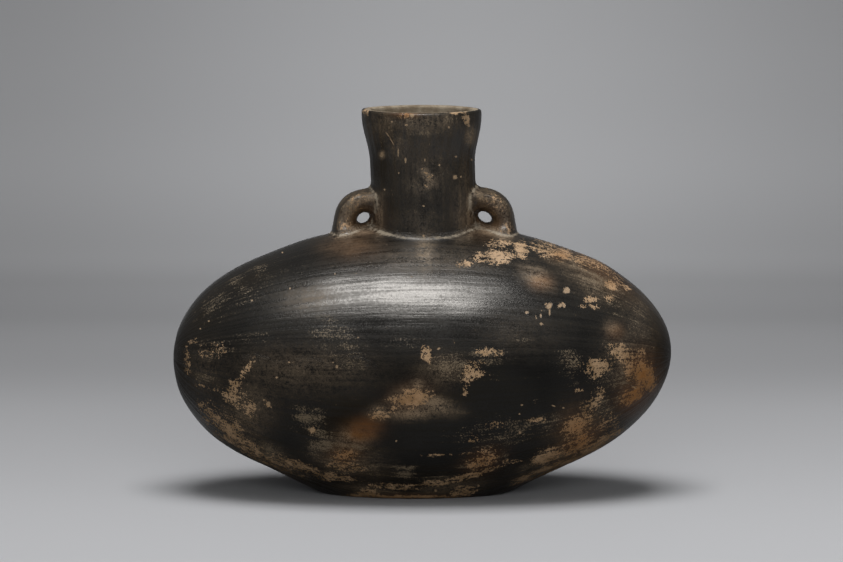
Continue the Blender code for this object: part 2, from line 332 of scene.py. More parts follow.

# Where the clay is fired orange, and painted light round the lug holes
EMBERS_AND_PAINTED_LIGHT = patches([
    ("lower right, glow", 578, 431, 8, 9, 0, 0.6),
    ("fire cloud", 363, 430, 7.4, 4.8, 20, 1.35),
    ("fire cloud, low", 345, 455, 8, 5, 0, 0.6),
    ("middle, bright", 408, 398, 10, 6, 20, 0.35),
    ("right end", 643, 375, 7, 10, 14, 1),
    ("right end, streaks", 634, 395, 7, 9, -40, 0.9),
    ("right low band", 580, 441, 12, 5, 34, 0.75),
    ("right shoulder, third", 561, 255, 5, 3, 0, 0.5),
    ("right flank, thumb mark", 615, 332, 3.6, 3.4, 0, 0.5),
    ("right shoulder, smear core", 541, 282, 4.4, 3.2, 0, 0.8),
    ("right shoulder edge", 600, 270, 16, 5, -36, 0.4),
    ("orange crumbs", 483, 461, 9, 5, 25, 0.6),
    ("base edge", 400, 497, 30, 1.4, 0, 0.4),
    # Painted light: orange-brown rings that lighten the shaded funnels round the lug holes
    ("left lug hole", 363, 219, 7.5, 7, 0, 0.55),
    ("right lug hole", 487, 219, 8, 7, 0, 0.5),
    ("shoulder, brown cloud", 352, 247, 11, 5, 0, 0.3),
    ("rim, golden crumbs", 406, 114, 6, 1.8, 0, 0.9),
])

# Fine scuffs and specks
SPECKS = patches([
    ("upper left, streaks high", 262, 268, 8, 2, 18, 0.72),
    ("upper left, streaks low", 237, 280, 6, 2, 24, 0.75),
    ("left shoulder, streaks", 214, 303, 13, 6, 38, 0.56),
    ("left shoulder, long streaks", 250, 290, 26, 8, 30, 0.42),
    ("left shoulder, thin streak", 243, 303, 6, 1.6, 12, 0.7),
    ("left end, mottle", 216, 350, 9, 5, 8, 0.75),
    ("left end, below", 205, 375, 6, 10, 20, 0.55),
    ("left, under the shine", 258, 338, 12, 3, 0, 0.5),
    ("left, around the mottle", 238, 410, 15, 14, -10, 0.46),
    ("left low", 265, 455, 20, 6, -30, 0.95),
    ("middle left, grey", 331, 331, 10, 7.5, 0, 0.85),
    ("middle left, lower", 347, 356, 10, 9, 0, 0.6),
    ("middle left, chain", 361, 361, 1.8, 5.5, 8, 0.9),
    ("middle, under the shine", 405, 342, 11, 3, 0, 0.68),
    ("middle, scratched", 450, 368, 13, 8, 0, 0.68),
    ("middle, right crumbs", 486, 357, 9, 6, 10, 0.72),
    ("right, small", 524, 341, 5, 2.4, 0, 0.72),
    ("low left, blue grey", 309, 417, 8, 6, -10, 1),
    ("low left, grey cluster", 322, 443, 6, 8, -10, 1.25),
    ("low middle", 350, 462, 17, 8, -8, 0.9),
    ("low middle, pale cluster", 404, 472, 5.5, 4.4, -20, 1.25),
    ("low middle, line", 438, 479, 12, 3, 6, 0.7),
    ("right low, scattered", 500, 432, 26, 8, 6, 0.6),
    ("right low, grey", 550, 423, 8, 5, 20, 0.75),
    ("right low, crumbs", 486, 462, 13, 5, 20, 0.95),
    ("right low, edge", 560, 456, 24, 7, 28, 0.7),
    ("right, grey cluster", 570, 362, 5.5, 6.5, 0, 1),
    ("right, grey below it", 573, 381, 3, 5, 0, 0.75),
    ("right end, scattered", 622, 378, 14, 18, 10, 0.6),
    ("right low, outer", 608, 415, 10, 9, 40, 0.72),
    ("right shoulder", 560, 258, 28, 8, -18, 0.52),
    ("right shoulder, outer", 597, 280, 17, 8, -34, 0.62),
    ("right shoulder, loop", 614, 302, 5, 8, 20, 0.5),
    ("right end, high arcs", 640, 320, 8, 16, 16, 0.4),
    ("neck, upper left", 392, 138, 9, 9, -30, 0.42),
    ("neck, rim band", 421, 120, 30, 4, 0, 0.5),
    ("neck, scratch line", 428, 133, 11, 1, 2, 0.8),
    ("neck, middle", 436, 170, 12, 10, 0, 0.25),
    ("left strap", 348, 207, 7, 12, -25, 0.8),
    ("right strap", 500, 205, 7, 12, 28, 0.8),
])

# Where the black is brownish and duller
BROWNS = patches([
    ("left end", 203, 312, 16, 14, 35, 0.55),
    ("left shoulder", 240, 280, 24, 8, 26, 0.7),
    ("left edge", 180, 350, 6, 30, 0, 0.45),
    ("right edge", 660, 330, 6, 26, 0, 0.9),
    ("right shoulder", 590, 275, 24, 10, -34, 0.6),
    ("shoulder by the left lug", 350, 248, 16, 8, 0, 0.9),
    ("shoulder by the right lug", 480, 243, 8, 3, -10, 0.7),
    ("neck, left", 382, 145, 8, 20, 0, 0.9),
    ("neck, right edge", 470, 160, 6, 22, 0, 0.7),
    ("neck, low left", 388, 210, 7, 14, 0, 0.5),
    ("around the fire cloud", 352, 428, 18, 13, 0, 0.9),
    ("low middle", 390, 480, 34, 8, 0, 0.6),
    ("low right", 575, 440, 22, 12, 34, 0.6),
    ("low left", 240, 430, 22, 18, -36, 0.6),
    ("middle", 432, 380, 20, 12, 0, 0.45),
    ("left lug", 352, 212, 12, 14, 0, 0.9),
    ("right lug", 492, 212, 12, 14, 0, 0.9),
])

# Single chips, dots and scratches that stand alone
CHIPS = patches([
    ("shine, left", 290, 288.5, 0.5, 0.5),
    ("shoulder, left", 252, 300.5, 0.6, 0.4, 20),
    ("shoulder, far left", 209, 321, 0.5, 0.5),
    ("left end", 200.5, 328.7, 0.5, 0.5),
    ("shoulder, by the shine", 335, 274, 0.5, 0.5),
    ("shoulder, high left", 282.5, 252.5, 0.5, 0.4),
    ("left flank, high", 289, 362.3, 0.6, 0.45),
    ("left flank, low", 276.8, 377.5, 0.75, 0.6),
    ("middle left", 336.7, 366.7, 0.7, 1),
    ("middle left, upper", 333, 362.5, 0.4, 0.4),
    ("left, chain end", 268.5, 403.5, 1.1, 1),
    ("left, chain dot", 264, 400, 0.6, 0.5),
    ("left, chain upper dot", 254.5, 361.5, 0.8, 0.5, 40),
    ("grey cluster dot", 312.5, 429.7, 1.3, 1.2),
    ("right flank, round", 566.7, 290.4, 1.95, 1.75),
    ("right flank, left chip", 549.3, 306, 1.9, 1.3, 62),
    ("right flank, left chip tail", 549.6, 312.4, 0.5, 1.9),
    ("right flank, right chip", 560, 305.5, 1.3, 0.7, 30),
    ("right flank, right chip end", 564.2, 306, 0.7, 1.2),
    ("right flank, dot", 527, 312.5, 1.1, 0.7, 20),
    ("right flank, upright dot", 540.8, 315.9, 0.5, 1.2),
    ("right flank, low dot", 541.3, 323.8, 0.8, 0.8),
    ("middle, dot", 438.7, 348.7, 1, 0.5, 30),
    ("right low, dot", 521.8, 405, 0.7, 0.6),
    ("right low, second dot", 519.5, 414, 0.7, 0.6),
    ("right low, dash", 554, 406, 1.3, 0.35, -20),
    ("right low, dash end", 563.5, 407.8, 0.7, 0.5),
    ("right low, third dot", 519.7, 432.6, 0.8, 0.8),
    ("right end, scratch", 634, 387.3, 1.6, 0.35, -30),
    ("foot, dot", 435.7, 490.6, 0.7, 0.8),
    ("foot, second dot", 478.5, 485.8, 0.6, 0.6),
    ("fire cloud, dot", 396.3, 441, 0.5, 0.5),
    ("neck, left oval", 381.9, 154.4, 1, 1.5),
    ("neck, middle oval", 405.5, 160.2, 0.6, 1.35),
    ("neck, middle dash", 424.8, 160, 0.35, 0.9),
    ("neck, right dot", 455, 177.2, 1.1, 1.2),
    ("neck, right small dot", 460.9, 176.8, 0.6, 0.6),
    ("neck, right high dot", 456, 156.6, 0.7, 0.5, 20),
    ("neck, far right dot", 471.8, 159.6, 0.5, 0.6),
    ("neck, dot", 439.4, 165, 0.5, 0.6),
    ("neck, left low dot", 398.5, 173, 0.5, 0.5),
    ("neck, lower left dot", 384.5, 189.6, 0.5, 0.5),
    ("neck, low dot", 423.6, 206, 0.8, 0.4, -20),
    ("neck, foot dot", 423.8, 235.8, 0.7, 0.7),
    ("neck, streak", 398.2, 152.4, 0.4, 2.6),
    ("neck, curved scratch high", 388, 135, 0.3, 2, 38),
    ("neck, curved scratch low", 392, 141.5, 0.3, 2.2, 30),
    ("neck, golden dot", 412, 115.6, 1.1, 1),
    ("neck, golden low dot", 406.3, 125, 0.9, 0.6, 10),
    ("neck, rim dot", 448.8, 127.2, 0.6, 0.6),
    ("neck, rim left dot", 392, 121.6, 0.5, 0.5),
    ("neck, rim right dot", 468.8, 125.6, 0.7, 0.8),
    ("rim, right chip", 465.6, 111.4, 0.9, 0.5),
    ("rim, second chip", 458.5, 112, 1, 0.4),
    ("rim, third chip", 452.5, 112.6, 0.7, 0.4),
])

# The back isn't seen in the photograph. It has a plainer set of the same wear, placed along and up in
# millimetres.
BACK_FLAKES = patches([
    ("left shoulder", -62, 128, 12, 6, 12, 0.85),
    ("left end", -104, 70, 9, 10, -20, 0.8),
    ("low left", -76, 32, 20, 7, -34, 0.8),
    ("middle", 12, 58, 12, 7, 15, 0.85),
    ("low right", 66, 24, 22, 6, 24, 0.8),
    ("right end", 108, 84, 8, 10, 10, 0.7),
    ("right shoulder", 54, 118, 9, 5, -20, 0.75),
    ("foot", -10, 8, 26, 3, 0, 0.8),
], BackPatch)

# Scale of the photograph at the jar's middle, in millimetres to the pixel
PIXEL = 0.5433

# Chips that share a layer lie this many pixels apart, and each reaches this many millimetres
CHIP_APART = 17.0
CHIP_REACH = 4.6
CHIP_FAR = 9.0

# Relief of the surface, its dust and its shine
STROKE_RIDGE = 0.15
STROKE_WAVE = 0.22
FLAKE_DEPTH = 0.12
GRAIN_HEIGHT = 0.12
DUST_REACH = 4.4
BURNISH_ROUGHNESS = 0.29
GLOSS = 1.0
LOW_GLOSS = 0.17
LOW_ROUGHNESS = 0.2
# The burnish is best on the shoulder, duller below this height and on the neck
POLISH_FROM = 72.0
POLISH_RISE = 34.0
NECK_DULLING = 0.5
DULL_RADIUS = 36
DULL_FROM = 134
DULL_RISE = 8
GLOSS_TINT = (1.0, 0.955, 0.9, 1.0)

# Wear fades out where a surface is this close to edge-on, as the cosine of its angle to the view
FACING_EASE = 0.12
BACK_HAZE = 0.5
BACK_BROWN = 0.6

# Stage and light
SWEEP_FRONT = 0.42
SWEEP_BACK = 0.95
SWEEP_BEND = 0.8
# The sheet ends at this angle of its bend, low enough to look over from behind, in degrees
SWEEP_TURN = 60
SWEEP_HALF_WIDTH = 0.85
SWEEP_STEPS = 16
KEY_AZIMUTH = -13
KEY_ELEVATION = 61
KEY_WIDTH = 0.9
KEY_HEIGHT = 0.56
KEY_DISTANCE = 1.3
KEY_POWER = 14.6
LIGHT_AIM = Vector((0.0, 0.0, 0.1))
# Name, azimuth, elevation, distance, size and power of the lights that the jar does not mirror
FILLS = [
    ("fill_front", 2, 14, 1.8, 1.0, 25.0),
    ("fill_high", -11, 61, 1.3, 0.8, 5.0),
    ("fill_top", 0, 81, 1.4, 0.8, 41.0),
    ("fill_right", 60, 33, 1.8, 1.0, 2.4),
    ("fill_left", -60, 33, 1.8, 1.0, 0.5),
]
ROOM_LIGHT = 0.1


def rgb(red, green, blue):
    return (red, green, blue, 1.0)


# Colours
BLACK_CLAY = rgb(0.0025, 0.0024, 0.0022)
GREY_BLACK_CLAY = rgb(0.0048, 0.0046, 0.0042)
FILM = rgb(0.0086, 0.0078, 0.0064)
BROWN_CLAY = rgb(0.0066, 0.0045, 0.0023)
FIRED_CLAY_AND_PAINTED_LIGHT = rgb(0.0779, 0.0312, 0.009)
HAZE_AND_PAINTED_LIGHT = rgb(0.125, 0.092, 0.06)
ORANGE_HAZE_AND_PAINTED_LIGHT = rgb(0.0943, 0.0476, 0.0189)
SPECK = rgb(0.083, 0.064, 0.042)
TAN_CLAY = rgb(0.1188, 0.0766, 0.0405)
PALE_CLAY = rgb(0.1936, 0.1294, 0.0757)
ORANGE_CLAY = rgb(0.1394, 0.0631, 0.0205)
DUST = rgb(0.1394, 0.1164, 0.0861)
BORE_CLAY = rgb(0.082, 0.0631, 0.0426)
BORE_DUST = rgb(0.1435, 0.1189, 0.0877)
CHIP = rgb(0.17, 0.118, 0.071)

# Painted light and shade of the sweep: its grey tones, by how far along it they lie from the jar, in metres
SWEEP_PAINTED_LIGHT_TONES = [
    (-0.2, 0.21), (0.3, 0.19), (0.5, 0.18), (0.78, 0.21), (1.0, 0.267),
    (1.12, 0.311), (1.35, 0.356), (1.5, 0.346), (1.7, 0.33),
]
# Painted shade and painted light: how much darker its sides are, and how much brighter its floor is at the
# right
SWEEP_SHADE = 0.3
SWEEP_PAINTED_RIGHT_LIGHT = 0.1
# Middle and reach of the painted shade at its sides, in metres
SWEEP_SHADE_MIDDLE = 0.03
SWEEP_SHADE_REACH = 0.42
SWEEP_COOL = rgb(0.985, 0.992, 1.02)


def smooth(share):
    """Eases from 0 to 1 as share goes from 0 to 1."""
    share = np.clip(share, 0.0, 1.0)
    return share * share * (3 - 2 * share)


def blend_union(a, b, width):
    """The union of two fields, with a fillet about as wide as width."""
    mix = np.clip(0.5 + 0.5 * (b - a) / width, 0, 1)
    return b + (a - b) * mix - width * mix * (1 - mix)


def blend_cut(solid, hole, width):
    """A solid less a hole, with a rounded edge."""
    return -blend_union(-solid, hole, width)


def rounded_both(a, b, radius):
    """Where both fields are inside, with a round edge between them."""
    a, b = a + radius, b + radius
    return np.hypot(np.maximum(a, 0), np.maximum(b, 0)) + np.minimum(np.maximum(a, b), 0) - radius


def oval_field(u, v, half_u, half_v):
    """The field of an oval section, close to a true distance near its edge."""
    level = np.sqrt((u / half_u) ** 2 + (v / half_v) ** 2)
    slope = np.sqrt((u / half_u**2) ** 2 + (v / half_v**2) ** 2)
    return level * (level - 1) / np.maximum(slope, 1e-6)


def body_centre(z):
    return BELLY_DRIFT * (smooth(WIDEST_HEIGHT / DRIFT_TOP) - smooth(z / DRIFT_TOP))


def body_top(x, y):
    along = (x - body_centre(WIDEST_HEIGHT + SHOULDER_RISE)) / HALF_LENGTH
    return WIDEST_HEIGHT + SHOULDER_RISE * np.sqrt(np.maximum(0.0, 1 - along**2 - (y / HALF_DEPTH) ** 2))


def neck_centre(z):
    root = WIDEST_HEIGHT + SHOULDER_RISE
    return ROOT_SHIFT + (RIM_SHIFT - ROOT_SHIFT) * smooth((z - root) / (JAR_HEIGHT - root))


def neck_radius(z):
    share = (z - (JAR_HEIGHT - FLARE_DROP)) / (FLARE_DROP - RIM_BAND)
    return NECK_RADIUS + (RIM_RADIUS - NECK_RADIUS) * smooth(share)


def rim_height(x, y):
    """The uneven top of the mouth: it sags a little to the back and right."""
    angle = np.arctan2(y, x)
    sag = RIM_SAG_BACK * (1 + np.sin(angle)) / 2 + RIM_SAG_RIGHT * (1 + np.cos(angle)) / 2
    return JAR_HEIGHT - sag - RIM_WAVE * (1 + np.sin(3 * angle + 1)) / 2


def body_field(x, y, z):
    """An oval shell over straight flanks that touch it, standing on a flat base."""
    off = x - body_centre(z)
    rise = np.where(z > WIDEST_HEIGHT, SHOULDER_RISE, WIDEST_HEIGHT)
    up = (z - WIDEST_HEIGHT) / rise
    level = np.sqrt((off / HALF_LENGTH) ** 2 + (y / HALF_DEPTH) ** 2 + up**2)
    slope = np.sqrt((off / HALF_LENGTH**2) ** 2 + (y / HALF_DEPTH**2) ** 2 + (up / rise) ** 2)
    oval = level * (level - 1) / np.maximum(slope, 1e-6)
    touching = 2 * math.atan2(1, BASE_HALF_LENGTH / HALF_LENGTH) - math.pi / 2
    touch_length = HALF_LENGTH * math.cos(touching)
    touch_height = WIDEST_HEIGHT * (1 - math.sin(touching))
    run = (touch_length - BASE_HALF_LENGTH) / touch_height
    stretched = np.hypot(off, y / DEPTH_SHARE)
    steepness = np.hypot(off, y / DEPTH_SHARE**2) / np.maximum(stretched, 1e-6)
    flank = (stretched - BASE_HALF_LENGTH - run * z) / np.hypot(steepness, run)
    side = np.where(z < touch_height, flank, oval)
    return rounded_both(side, -z, BASE_EDGE_ROUND)


def neck_field(x, y, z):
    """The neck, solid, down to the middle of the body."""
    around = np.hypot(x - neck_centre(z), y) - neck_radius(z)
    return np.maximum(around, WIDEST_HEIGHT + SHOULDER_RISE / 2 - z)


def lug_corner(lug):
    """Where the neck's side meets the shoulder, which the lug bends round."""
    corner_x = ROOT_SHIFT + lug.side * NECK_RADIUS
    return corner_x, body_top(corner_x, 0.0)


def lug_field(lug, x, y, z):
    """A strap bent round from the neck to the shoulder, over a web of clay that is thin at its hole."""
    corner_x, corner_z = lug_corner(lug)
    out = lug.side * (x - corner_x)
    up = z - corner_z
    middle = math.pi / 4
    root_share = np.minimum(1.0, np.abs(np.arctan2(up, out) - middle) / middle) ** 4
    half_thick = (LUG_THICKNESS + (LUG_ROOT_THICKNESS - LUG_THICKNESS) * root_share) / 2
    half_deep = (LUG_DEPTH + (LUG_ROOT_DEPTH - LUG_DEPTH) * root_share) / 2
    bend = lug.reach - LUG_THICKNESS / 2
    away = (np.abs(out) ** LUG_SQUARENESS + np.abs(up) ** LUG_SQUARENESS) ** (1 / LUG_SQUARENESS)
    strap = oval_field(away - bend, y, half_thick, half_deep)
    from_hole = np.hypot(out - lug.hole_out, up - lug.hole_up)
    edge = (lug.hole_long + lug.hole_short) / 2
    half_web = WEB_THIN + (WEB_THICK - WEB_THIN) * smooth((from_hole - edge) / WEB_RUN)
    web = np.maximum(np.abs(y) - half_web, from_hole - WEB_REACH)
    return blend_union(strap, web, WEB_BLEND)


def hole_field(lug, x, y, z):
    """A lug's hole, narrowest in the middle of the clay, negative inside the hole."""
    corner_x, corner_z = lug_corner(lug)
    across = x - corner_x - lug.side * lug.hole_out
    up = z - corner_z - lug.hole_up
    cos, sin = math.cos(lug.tilt), math.sin(lug.tilt)
    u, v = across * cos + up * sin, up * cos - across * sin
    widen = np.minimum(HOLE_FLARE * (y / WEB_THIN) ** 2, HOLE_FLARE * 2)
    return oval_field(u, v, lug.hole_long + widen, lug.hole_short + widen)


def outside_field(x, y, z):
    """The whole jar but for the hollow of the belly: negative in the clay. The bore ends at its seam."""
    form = blend_union(body_field(x, y, z), neck_field(x, y, z), ROOT_BLEND)
    for lug in LUGS:
        form = blend_union(form, lug_field(lug, x, y, z), LUG_BLEND)
    for lug in LUGS:
        form = blend_cut(form, hole_field(lug, x, y, z), HOLE_BLEND)
    bore = neck_radius(z) - NECK_WALL - np.hypot(x - neck_centre(z), y)
    bore = np.minimum(bore, z - BORE_SEAM)
    return rounded_both(np.maximum(form, bore), z - rim_height(x, y), LIP_ROUND)


def grid_line(low, changes):
    """Grid values from low on. changes holds (up to, step) pairs."""
    values = [low]
    for end, step in changes:
        count = max(1, round((end - values[-1]) / step))
        values += list(np.linspace(values[-1], end, count + 1)[1:])
    return np.array(values)


def surface_net(xs, ys, zs, field):
    """Vertices and quads of the field's zero surface: a vertex in each cell that it crosses, and a quad round
    each of the grid's edges that it crosses."""
    inside = field < 0
    total = np.zeros([n - 1 for n in field.shape] + [3])
    count = np.zeros([n - 1 for n in field.shape])
    lines = (xs, ys, zs)
    crossings = []
    for axis in range(3):
        low = [slice(None)] * 3
        high = [slice(None)] * 3
        low[axis], high[axis] = slice(0, -1), slice(1, None)
        f0, f1 = field[tuple(low)], field[tuple(high)]
        index = np.argwhere(inside[tuple(low)] != inside[tuple(high)])
        picked = tuple(index.T)
        share = f0[picked] / (f0[picked] - f1[picked])
        point = np.stack([lines[a][index[:, a]] for a in range(3)], axis=1)
        step = lines[axis][index[:, axis] + 1] - lines[axis][index[:, axis]]
        point[:, axis] += share * step
        others = [a for a in range(3) if a != axis]
        crossings.append((axis, index, inside[tuple(low)][picked]))
        for da in (0, -1):
            for db in (0, -1):
                cell = index.copy()
                cell[:, others[0]] += da
                cell[:, others[1]] += db
                kept = np.all((cell >= 0) & (cell < count.shape), axis=1)
                np.add.at(total, tuple(cell[kept].T), point[kept])
                np.add.at(count, tuple(cell[kept].T), 1)
    used = count > 0
    number = -np.ones(count.shape, int)
    number[used] = np.arange(used.sum())
    vertices = total[used] / count[used][:, None]
    quads = []
    for axis, index, starts_inside in crossings:
        a, b = [(1, 2), (2, 0), (0, 1)][axis]
        corners = []
        for da, db in ((-1, -1), (0, -1), (0, 0), (-1, 0)):
            cell = index.copy()
            cell[:, a] += da
            cell[:, b] += db
            corners.append(number[tuple(cell.T)])
        quad = np.stack(corners, axis=1)
        quad[~starts_inside] = quad[~starts_inside][:, ::-1]
        quads.append(quad)
    return vertices, np.concatenate(quads)


def gradient(field, points, reach=0.05):
    steps = []
    for axis in range(3):
        shift = np.zeros(3)
        shift[axis] = reach
        steps.append((field(*(points + shift).T) - field(*(points - shift).T)) / (2 * reach))
    return np.stack(steps, axis=1)


def settle(field, points, rounds):
    """Moves points onto the field's zero surface and returns them with its normals."""
    for _ in range(rounds):
        slope = gradient(field, points)
        size = np.maximum((slope**2).sum(1), 0.05)
        move = np.clip(field(*points.T) / size, -1.0, 1.0)
        points = points - slope * move[:, None]
    slope = gradient(field, points)
    return points, slope / np.maximum(np.linalg.norm(slope, axis=1), 1e-9)[:, None]


def neighbour_mean(points, quads):
    pairs = np.concatenate([quads[:, [i, (i + 1) % 4]] for i in range(4)])
    pairs = np.concatenate([pairs, pairs[:, ::-1]])
    total = np.zeros_like(points)
    np.add.at(total, pairs[:, 0], points[pairs[:, 1]])
    return total / np.bincount(pairs[:, 0], minlength=len(points))[:, None]


def mesh_outside():
    """The jar's outside, lip and bore down to the seam, as evenly spread quads, and the seam's vertices in
    order with their angles round the neck."""
    ends = HALF_LENGTH + GRID_MARGIN
    sides = HALF_DEPTH + GRID_MARGIN
    top = JAR_HEIGHT + GRID_MARGIN
    along = [(-FINE_ALONG_TO, COARSE_ALONG), (FINE_ALONG_TO, FINE_STEP), (ends, COARSE_ALONG)]
    across = [(-FINE_ACROSS_TO, COARSE_ACROSS), (FINE_ACROSS_TO, FINE_STEP), (sides, COARSE_ACROSS)]
    xs = grid_line(-ends, along)
    ys = grid_line(-sides, across)
    zs = grid_line(-GRID_MARGIN, [(FINE_FROM_HEIGHT, COARSE_RISE), (top, FINE_RISE)])
    x, y, z = np.meshgrid(xs, ys, zs, indexing="ij")
    vertices, quads = surface_net(xs, ys, zs, outside_field(x, y, z))
    height = vertices[:, 2]
    radius = np.hypot(vertices[:, 0] - neck_centre(height), vertices[:, 1])
    plug = (height > PLUG_FROM) & (height < BORE_SEAM + FINE_RISE) & (radius < NECK_RADIUS - NECK_WALL / 2)
    quads = quads[~plug[quads].any(axis=1)]
    used = np.unique(quads)
    number = np.zeros(len(vertices), int)
    number[used] = np.arange(len(used))
    vertices, quads = vertices[used], number[quads]
    edges = np.sort(np.concatenate([quads[:, [i, (i + 1) % 4]] for i in range(4)]), axis=1)
    unique, seen = np.unique(edges, axis=0, return_counts=True)
    seam = np.unique(unique[seen == 1])
    vertices, normals = settle(outside_field, vertices, SETTLE_ROUNDS)
    for _ in range(SPREAD_ROUNDS):
        shift = neighbour_mean(vertices, quads) - vertices
        shift -= normals * (shift * normals).sum(1)[:, None]
        shift[seam] = 0
        vertices, normals = settle(outside_field, vertices + 0.5 * shift, 1)
    height = vertices[seam, 2].mean()
    angle = np.arctan2(vertices[seam, 1], vertices[seam, 0] - neck_centre(height))
    seam = seam[np.argsort(angle)]
    angle = np.sort(angle)
    seam_radius = neck_radius(height) - NECK_WALL
    vertices[seam, 0] = neck_centre(height) + seam_radius * np.cos(angle)
    vertices[seam, 1] = seam_radius * np.sin(angle)
    vertices[seam, 2] = height
    return vertices, quads, seam, angle


def mesh_inside(seam_height, angle):
    """Rings of vertices from the seam down the bore and the hollow of the belly, and its floor's middle."""
    bore_radius = neck_radius(seam_height) - NECK_WALL
    along, across = HALF_LENGTH - BODY_WALL, HALF_DEPTH - BODY_WALL
    cos, sin = np.cos(angle), np.sin(angle)
    flat = np.hypot(cos * bore_radius / along, sin * bore_radius / across)
    start = np.arcsin(flat)
    turn = np.arctan2(sin / across, cos / along)
    mouth_height = WIDEST_HEIGHT + (SHOULDER_RISE - BODY_WALL) * np.cos(start)
    rings = []
    for step in range(1, BORE_RINGS + 1):
        z = seam_height + (mouth_height - seam_height) * step / BORE_RINGS
        rings.append(np.stack([neck_centre(z) + bore_radius * cos, bore_radius * sin, z], axis=1))
    for step in range(1, HOLLOW_RINGS):
        dip = start + (math.pi - start) * step / HOLLOW_RINGS
        rise = np.where(np.cos(dip) > 0, SHOULDER_RISE - BODY_WALL, WIDEST_HEIGHT - FLOOR_THICKNESS)
        z = WIDEST_HEIGHT + rise * np.cos(dip)
        x = body_centre(z) + along * np.sin(dip) * np.cos(turn)
        x += (neck_centre(z) - body_centre(z)) * (1 - step / HOLLOW_RINGS) ** 4
        rings.append(np.stack([x, across * np.sin(dip) * np.sin(turn), z], axis=1))
    floor_middle = np.array([[body_centre(FLOOR_THICKNESS), 0.0, FLOOR_THICKNESS]])
    return np.concatenate(rings + [floor_middle])


def inside_faces(seam, first, rings):
    """Quads between the rings, from the seam down, and the fan that closes them at the last vertex."""
    count = len(seam)
    rows = [seam] + [first + count * r + np.arange(count) for r in range(rings)]
    faces = []
    for upper, lower in zip(rows, rows[1:]):
        faces += np.stack([upper, np.roll(upper, -1), np.roll(lower, -1), lower], axis=1).tolist()
    last = rows[-1]
    middle = first + count * rings
    faces += np.stack([last, np.roll(last, -1), np.full(count, middle)], axis=1).tolist()
    return faces


def uneven(points):
    """Slow swells of a wall that was built and scraped by hand."""
    chance = np.random.default_rng(11)
    total = np.zeros(len(points))
    for _ in range(UNEVEN_WAVES):
        direction = chance.normal(size=3)
        direction *= 2 * math.pi / UNEVEN_LENGTH / np.linalg.norm(direction) * chance.uniform(0.5, 1.4)
        total += np.sin(points @ direction + chance.uniform(0, 2 * math.pi))
    return UNEVEN_HEIGHT * total / math.sqrt(UNEVEN_WAVES)


def dent(points, normals):
    """Moves the outside along its normals by the slow swells and the named dents, but not at the box's
    faces."""
    height = uneven(points)
    for place in DENTS:
        away = np.linalg.norm(points - (place.along, 0, place.up), axis=1) / place.reach
        height += place.height * np.exp(-(away**2))
    room = np.minimum(HALF_LENGTH - np.abs(points[:, 0]), HALF_DEPTH - np.abs(points[:, 1]))
    room = np.minimum(room, JAR_HEIGHT - points[:, 2])
    height *= smooth(points[:, 2] / DENT_FREE_FOOT) * smooth(room / DENT_FADE)
    return points + normals * height[:, None]


def fit_inside(points):
    """Scales the points so that they fill the CAD part's box and stay inside it."""
    low = np.array(cad_low) / MM + BOX_CLEARANCE
    high = np.array(cad_high) / MM - BOX_CLEARANCE
    low[2] = 0.0
    share = (points - points.min(0)) / (points.max(0) - points.min(0))
    return low + share * (high - low)


def photo_place(points):
    """Where points are in the photograph, in its pixels, and the unit vectors from them to the camera."""
    away = points * MM - np.array(CAMERA_PLACE)
    dip_cos, dip_sin = math.cos(CAMERA_DIP), math.sin(CAMERA_DIP)
    depth = away[:, 1] * dip_cos - away[:, 2] * dip_sin
    rise = away[:, 1] * dip_sin + away[:, 2] * dip_cos
    scale = CAMERA_LENS / CAMERA_SENSOR * PHOTO_WIDTH
    px = PHOTO_WIDTH / 2 + scale * away[:, 0] / depth
    py = PHOTO_HEIGHT / 2 - scale * rise / depth
    return px, py, -away / np.linalg.norm(away, axis=1)[:, None]


def oval_offset(u, v, patch):
    """Offsets u to the right and v upward, along a patch's own axes and in its half sizes."""
    tilt = math.radians(patch.tilt)
    across = (u * math.cos(tilt) + v * math.sin(tilt)) / patch.wide
    upward = (v * math.cos(tilt) - u * math.sin(tilt)) / patch.high
    return across, upward


def oval_level(u, v, patch):
    """0 in the middle of a patch and 1 on its edge."""
    return np.hypot(*oval_offset(u, v, patch))


def plateau(level):
    """1 in the middle of a patch, a half on its edge and 0 outside it."""
    return 1 - smooth((level - 0.3) / 1.4)


def cloud(level):
    """The same for a patch that fades out slowly."""
    return np.exp(-0.7 * level**2)


def painted(patches, px, py, facing, profile):
    """The patches' strength at each vertex that is seen in the photograph."""
    total = np.zeros(len(px))
    for patch in patches:
        level = oval_level((px - patch.px) * PIXEL, (patch.py - py) * PIXEL, patch)
        total = np.maximum(total, patch.strength * profile(level))
    return total * facing


def painted_back(patches, points, facing):
    """The same for the patches of the back, which are placed in millimetres."""
    total = np.zeros(len(points))
    for patch in patches:
        level = oval_level(patch.along - points[:, 0], points[:, 2] - patch.up, patch)
        total = np.maximum(total, patch.strength * plateau(level))
    return total * facing


def far_apart(chip, group):
    return all(math.hypot(chip.px - other.px, chip.py - other.py) > CHIP_APART for other in group)


def chip_layers(px, py, facing):
    """Vectors at the vertices that are shorter than 1 inside a chip. Chips of one layer lie well apart, so
    that the vectors run straight from vertex to vertex near each. Far from any chip, a vector has a large
    third part."""
    groups = []
    for chip in CHIPS:
        free = [group for group in groups if far_apart(chip, group)]
        if free:
            free[0].append(chip)
        else:
            groups.append([chip])
    layers = []
    for group in groups:
        vectors = np.tile((0.0, 0.0, CHIP_FAR), (len(px), 1))
        for chip in group:
            u, v = (px - chip.px) * PIXEL, (chip.py - py) * PIXEL
            near = (np.hypot(u, v) < CHIP_REACH) & (facing > 0.5)
            across, upward = oval_offset(u, v, chip)
            vectors[near] = np.stack([across, upward, np.zeros(len(px))], axis=1)[near]
        layers.append(vectors)
    return layers


def crevice(a, b):
    """1 in the middle of the fillet between two fields, and 0 away from it and from both."""
    nearer = np.minimum(a, b)
    depth = (nearer - blend_union(a, b, DUST_REACH)) / (DUST_REACH / 4)
    return depth * smooth(2 - nearer / 2)


